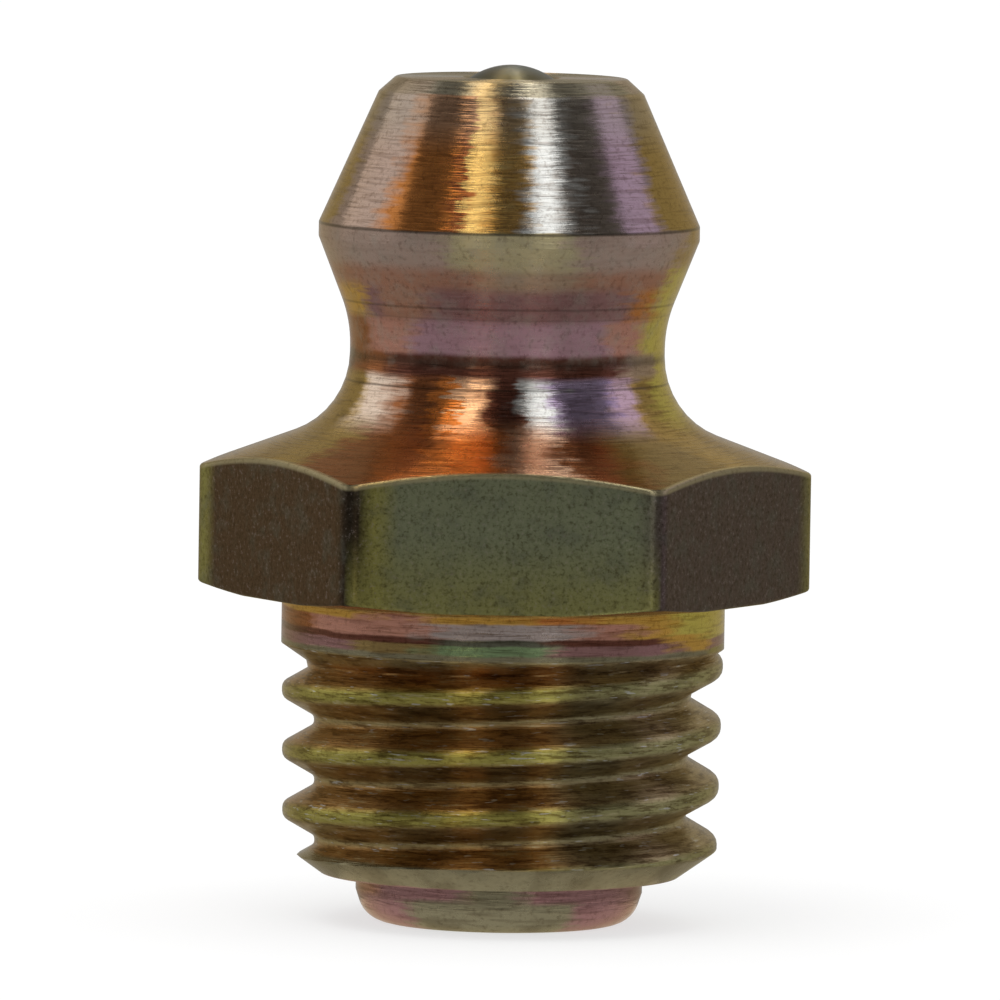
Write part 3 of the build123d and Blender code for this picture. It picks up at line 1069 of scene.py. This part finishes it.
class NipplePlating(PropertyGroup):
    """Colours and relief of the plated steel, the ball and the wire"""

    # The streaks that silver, straw, brass, blush, apricot, orange, iris, lilac and violet colour are partly
    # painted reflections of the strip lights, and silver also paints glints on the thread
    silver: colour("Silver", (0.67, 0.67, 0.64), "Film where it is thin")
    steel: colour("Steel", (0.44, 0.40, 0.33), "Thin greyish film")
    slate: colour("Slate", (0.27, 0.22, 0.18), "Dull grey film")
    smoke: colour("Smoke", (0.13, 0.13, 0.09), "Dull green-grey film")
    straw: colour("Straw", (0.68, 0.49, 0.19), "Gold streaks of the nose")
    brass: colour("Brass", (0.56, 0.33, 0.10), "Edges of the gold streaks")
    lime: colour("Lime", (0.67, 0.56, 0.12), "Yellow-green film at the sides")
    moss: colour("Moss", (0.46, 0.30, 0.09), "Greenish brown film")
    olive: colour("Olive", (0.33, 0.28, 0.08), "Olive film of the lead")
    khaki: colour("Khaki", (0.57, 0.49, 0.28), "Underside of the head")
    sand: colour("Sand", (0.47, 0.33, 0.22), "Brownish film of the face")
    drab: colour("Drab", (0.26, 0.23, 0.14), "Tip and lead chamfer")
    blush: colour("Blush", (0.86, 0.68, 0.54), "Pale pink streak of the flare")
    apricot: colour("Apricot", (0.97, 0.60, 0.38), "Palest orange streaks")
    orange: colour("Orange", (0.92, 0.30, 0.07), "Orange streaks of the flare")
    amber: colour("Amber", (0.68, 0.39, 0.08), "Golden brown film")
    copper: colour("Copper", (0.58, 0.22, 0.06), "Reddish brown film")
    umber: colour("Umber", (0.36, 0.13, 0.05), "Thick brown film")
    coffee: colour("Coffee", (0.16, 0.06, 0.04), "Dark brown film")
    rose: colour("Rose", (0.46, 0.23, 0.15), "Reddish film")
    pink: colour("Pink", (0.50, 0.36, 0.29), "Pale reddish film")
    mauve: colour("Mauve", (0.52, 0.30, 0.34), "Neck")
    plum: colour("Plum", (0.34, 0.18, 0.17), "Dull reddish film")
    violet: colour("Violet", (0.42, 0.31, 0.33), "Bluish film")
    lilac: colour("Lilac", (0.64, 0.46, 0.48), "Pale bluish film")
    green: colour("Green", (0.23, 0.32, 0.16), "Lower shoulder")
    haze: colour("Haze", (0.47, 0.39, 0.36), "Pale ring of the shoulder")
    iris: colour("Iris", (0.43, 0.33, 0.47), "Blue side of the flare")
    clay: colour("Clay", (0.60, 0.29, 0.21), "Reddish film of the neck")
    crest: colour("Crest", (0.41, 0.36, 0.09), "Crests of the thread")
    russet: colour("Russet", (0.42, 0.23, 0.08), "Upper flanks of the thread")
    root: colour("Root", (0.42, 0.33, 0.15), "Root of the thread")
    bark: colour("Bark", (0.31, 0.21, 0.08), "Lower flanks of the thread")
    # Painted sheen on one side of the thread
    thread_sheen: colour("Wear", (0.36, 0.35, 0.22), "Greyer film on one side of the thread")
    ball: colour("Ball", (0.15, 0.125, 0.06), "Dark film of the ball")
    rim_tint: colour("Rim tint", (1.0, 0.88, 0.66), "Sheen at a glancing view")
    # Dark also paints the shade of the grooves and a dark reflection beside one corner of the hexagon
    dark: colour("Dark", (0.04, 0.03, 0.02), "Grooves and dark stains")
    ring_shade: colour("Ring shade", (0.38, 0.32, 0.28), "Share of the film left by dull rings")
    speckle: colour("Speckle", (0.45, 0.42, 0.38), "Share of the film left by dark specks")
    wall_olive: colour("Olive walls", (0.25, 0.27, 0.16), "Flats that face along Y")
    wall_brown: colour("Brown walls", (0.09, 0.05, 0.03), "Flats towards -X")
    wall_grey: colour("Grey walls", (0.11, 0.08, 0.07), "Flats towards +X")
    wall_slate: colour("Slate walls", (0.14, 0.15, 0.12), "Clouds on the walls")
    # Wall edges also paint the highlights at the hexagon's corners
    wall_edge: colour("Wall edges", (0.32, 0.30, 0.09), "Yellow parts of the walls")
    wire: colour("Wire", (0.55, 0.55, 0.54), "Spring wire")
    roughness: level("Roughness", 0.26, "Roughness of the turned surfaces")
    brushing: level("Brushing", 0.95, "How unevenly turned surfaces scatter light")
    ring_density: level("Ring density", 16.0, "Turning rings in a millimetre", high=40.0)
    ring_depth: length("Ring depth", 0.020, "Depth of the turning rings")
    skin_depth: length("Skin depth", 0.010, "Relief of the walls' skin")


class NippleStudio(PropertyGroup):
    """Floor, lights and camera"""

    floor: colour("Floor", (0.36, 0.36, 0.36), "Colour of the floor")
    floor_glow: level("Floor glow", 0.64, "How much the floor shines of itself")
    horizon_level: level("Horizon level", 0.40, "Brightness of the tent round the horizon")
    tent_front: level("Tent front", 0.09, "Brightness of the tent above the front")
    tent_back: level("Tent back", 0.36, "Brightness of the tent above the back")
    mat_level: level("Mat level", 0.40, "Brightness of the grey mat")
    mat_inner: length("Mat opening", 3.2, "Radius of the mat's opening")
    strip_level: level("Strip level", 3.0, "Brightness of the strip lights", high=100.0)
    lamp_energy: level("Lamp power", 1.0, "Power of the soft box in watts", high=100.0)
    world_level: level("World level", 1.0, "Brightness of the world")
    warm: colour("Warm", (1.0, 0.86, 0.66), "Warm strip lights")
    white: colour("White", (1.0, 1.0, 1.0), "White strip lights")
    cool: colour("Cool", (0.86, 0.80, 1.0), "Cool strip light")
    bearing: angle("Bearing", 0.2, "How far round the camera stands")
    elevation: angle("Elevation", 4.44, "How far the camera looks down")
    roll: angle("Roll", 0.92, "How far the camera is rolled")
    distance: length("Distance", 250, "From the camera to the nipple")
    pixels_per_mm: level("Scale", 57.0, "Pixels to a millimetre", high=500.0)
    right_pixels: level("Right", 5.07, "How far right of the middle the aim lies", high=500.0)
    up_pixels: level("Up", 4.48, "How far above the middle the aim lies", high=500.0)


class NIPPLE_PT_panel(Panel):
    """Sidebar panel with the pieces and their sizes"""

    bl_idname = "NIPPLE_PT_panel"
    bl_label = "Grease nipple"
    bl_space_type = "VIEW_3D"
    bl_region_type = "UI"
    bl_category = "Grease nipple"

    def draw(self, context):
        layout = self.layout
        for operator in OPERATORS:
            layout.operator(operator.bl_idname)
        for name, group in GROUPS.items():
            box = layout.box()
            box.label(text=name.replace("nipple_", "").capitalize())
            for key in group.__annotations__:
                box.prop(getattr(context.scene, name), key)


GROUPS = {
    "nipple_tip": NippleTip,
    "nipple_thread": NippleThread,
    "nipple_hexagon": NippleHexagon,
    "nipple_head": NippleHead,
    "nipple_spring": NippleSpring,
    "nipple_plating": NipplePlating,
    "nipple_studio": NippleStudio,
}
OPERATORS = (NIPPLE_OT_body, NIPPLE_OT_ball, NIPPLE_OT_spring, NIPPLE_OT_stage)


def register():
    for group in GROUPS.values():
        bpy.utils.register_class(group)
    for operator in OPERATORS:
        bpy.utils.register_class(operator)
    bpy.utils.register_class(NIPPLE_PT_panel)
    for name, group in GROUPS.items():
        setattr(bpy.types.Scene, name, PointerProperty(type=group))


def unregister():
    for name in GROUPS:
        delattr(bpy.types.Scene, name)
    bpy.utils.unregister_class(NIPPLE_PT_panel)
    for operator in reversed(OPERATORS):
        bpy.utils.unregister_class(operator)
    for group in reversed(GROUPS.values()):
        bpy.utils.unregister_class(group)


def main():
    register()
    bpy.ops.nipple.body()
    bpy.ops.nipple.ball()
    bpy.ops.nipple.spring()
    bpy.ops.nipple.stage()


if __name__ == "__main__":
    main()
